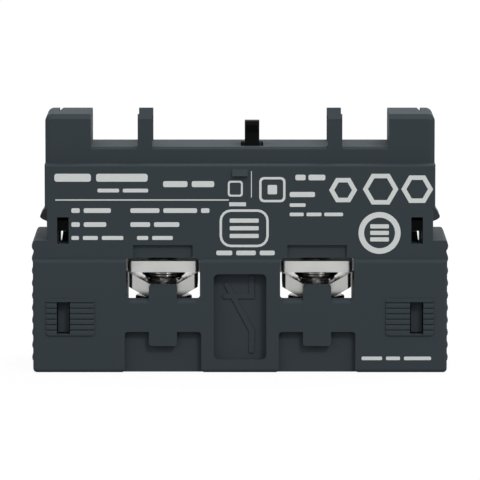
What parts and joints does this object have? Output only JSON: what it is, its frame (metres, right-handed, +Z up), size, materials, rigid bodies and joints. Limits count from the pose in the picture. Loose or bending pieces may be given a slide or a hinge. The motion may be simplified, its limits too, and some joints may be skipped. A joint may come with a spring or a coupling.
{
  "type": "auxiliary contact block",
  "caption": "Slim clip-on auxiliary contact block with a pushed bridging contact, two screw clamps, side latch arms and locating ears.",
  "frame": {"origin": "under the middle of the case, on its flat foot", "axes": "+X along the case to the right of the printed front face, -Y out of that face, +Z up towards the ears and the plunger"},
  "size_m": [0.0446, 0.0144, 0.0275],
  "materials": {
    "case_plastic": "fine satin moulding, dark grey",
    "plunger_plastic": "glossy black moulding",
    "latch_plastic": "satin moulding, darker grey",
    "plated_steel": "zinc-plated, satin",
    "screw_steel": "zinc-plated, bright",
    "contact_brass": "bright copper alloy strip",
    "contact_silver": "silver alloy, polished",
    "spring_steel": "drawn stainless wire"
  },
  "bodies": {
    "case": {"front_shell": "case_plastic", "rear_shell": "case_plastic", "terminal_plate_left": "plated_steel", "terminal_plate_right": "plated_steel", "fixed_tip_left": "contact_silver", "fixed_tip_right": "contact_silver", "return_spring": "spring_steel"},
    "plunger": {"plunger": "plunger_plastic", "contact_spring": "spring_steel"},
    "bridge": {"contact_bridge": "contact_brass", "bridge_tip_left": "contact_silver", "bridge_tip_right": "contact_silver"},
    "clamp_left": {"clamp_saddle_left": "plated_steel"},
    "screw_left": {"terminal_screw_left": "screw_steel"},
    "clamp_right": {"clamp_saddle_right": "plated_steel"},
    "screw_right": {"terminal_screw_right": "screw_steel"},
    "latch_left": {"latch_arm_left": "latch_plastic"},
    "latch_right": {"latch_arm_right": "latch_plastic"}
  },
  "joints": [
    {"name": "plunger_press", "type": "slide", "parent": "case", "child": "plunger", "axis": [0, 0, -1], "range_m": [0, 0.002], "stiffness_N_per_m": 300, "springref_m": -0.003, "deforming": ["return_spring"]},
    {"name": "bridge_float", "type": "slide", "parent": "plunger", "child": "bridge", "axis": [0, 0, 1], "range_m": [0, 0.0005], "deforming": ["contact_spring"]},
    {"name": "latch_left_release", "type": "hinge", "parent": "case", "child": "latch_left", "pos_m": [-0.01995, 0, 0.0214], "axis": [0, -1, 0], "range_deg": [0, 8], "stiffness_Nm_per_rad": 0.05, "springref_deg": -5.73},
    {"name": "clamp_left_travel", "type": "slide", "parent": "case", "child": "clamp_left", "axis": [0, 0, -1], "range_m": [0, 0.002]},
    {"name": "screw_left_turn", "type": "hinge", "parent": "clamp_left", "child": "screw_left", "pos_m": [-0.00824, 0, 0.0075], "axis": [0, 0, -1], "range_deg": [0, 1200]},
    {"name": "latch_right_release", "type": "hinge", "parent": "case", "child": "latch_right", "pos_m": [0.01995, 0, 0.0214], "axis": [0, 1, 0], "range_deg": [0, 8], "stiffness_Nm_per_rad": 0.05, "springref_deg": -5.73},
    {"name": "clamp_right_travel", "type": "slide", "parent": "case", "child": "clamp_right", "axis": [0, 0, -1], "range_m": [0, 0.002]},
    {"name": "screw_right_turn", "type": "hinge", "parent": "clamp_right", "child": "screw_right", "pos_m": [0.00824, 0, 0.0075], "axis": [0, 0, -1], "range_deg": [0, 1200]}
  ],
  "couplings": [
    {"joint": "bridge_float", "follows": "plunger_press", "ratio": 0.25},
    {"joint": "screw_left_turn", "follows": "clamp_left_travel", "rad_per_m": 10472},
    {"joint": "screw_right_turn", "follows": "clamp_right_travel", "rad_per_m": 10472}
  ]
}
